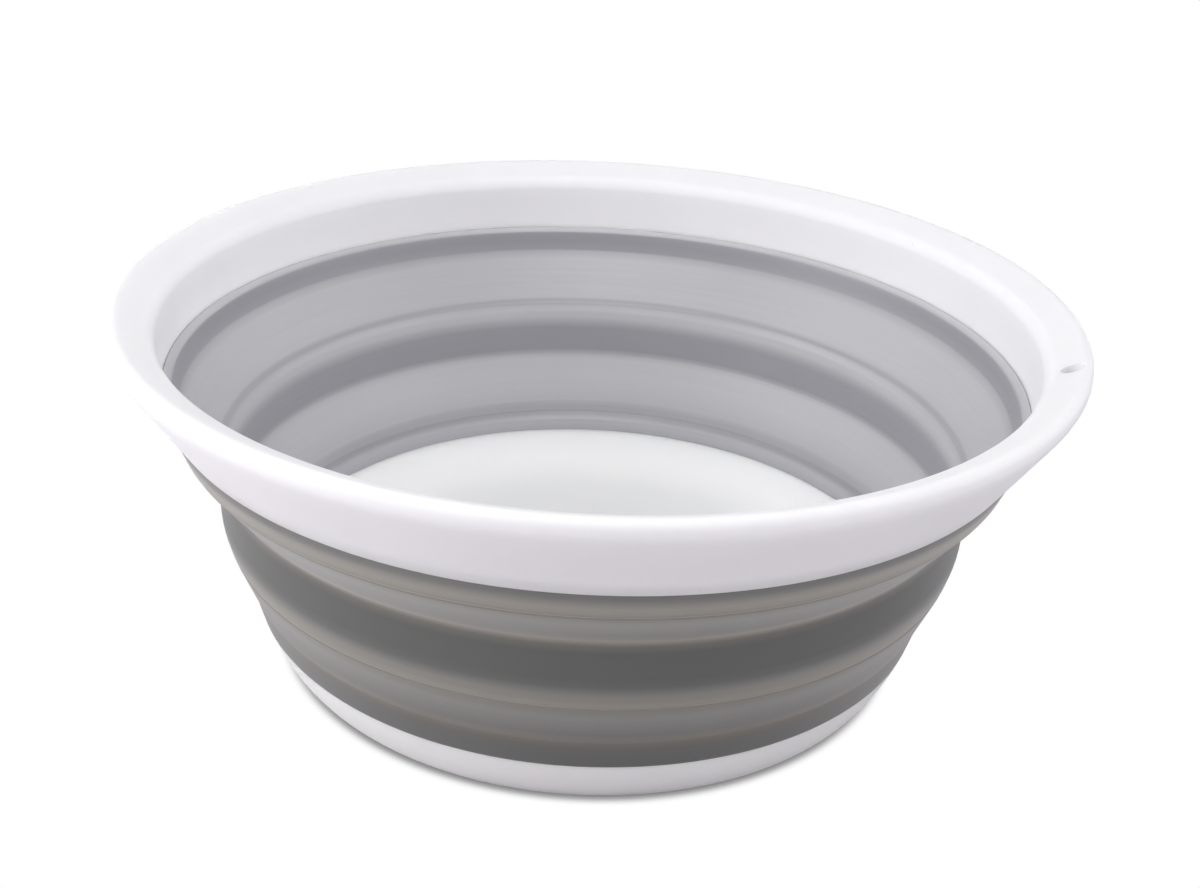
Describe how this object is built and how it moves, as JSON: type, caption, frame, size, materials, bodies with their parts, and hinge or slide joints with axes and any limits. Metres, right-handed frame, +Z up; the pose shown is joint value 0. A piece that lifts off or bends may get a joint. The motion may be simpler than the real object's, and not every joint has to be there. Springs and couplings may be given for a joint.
{
  "type": "collapsible washbasin",
  "caption": "Round free-standing washbasin with a hard rim and base and a stepped soft wall that folds flat for packing.",
  "frame": {"origin": "centre of the foot ring, on the surface that the basin stands on", "axes": "+Z up along the basin's axis; -Y faces the viewer; the hanging hole is in the lip 16.5 degrees from +X towards -Y"},
  "size_m": [0.37, 0.37, 0.1445],
  "materials": {
    "white_plastic": "moulded hard plastic, semi-gloss",
    "grey_rubber": "moulded soft rubber, satin"
  },
  "bodies": {
    "base": {"base": "white_plastic", "lower_collar": "grey_rubber"},
    "middle": {"lower_web": "grey_rubber", "middle_ring": "grey_rubber", "upper_web": "grey_rubber"},
    "rim": {"upper_collar": "grey_rubber", "rim": "white_plastic"}
  },
  "joints": [
    {"name": "lower_fold", "type": "slide", "parent": "base", "child": "middle", "axis": [0, 0, 1], "range_m": [-0.0411, 0], "deforming": ["lower_web"]},
    {"name": "upper_fold", "type": "slide", "parent": "middle", "child": "rim", "axis": [0, 0, 1], "range_m": [-0.0385, 0], "deforming": ["upper_web"]}
  ]
}
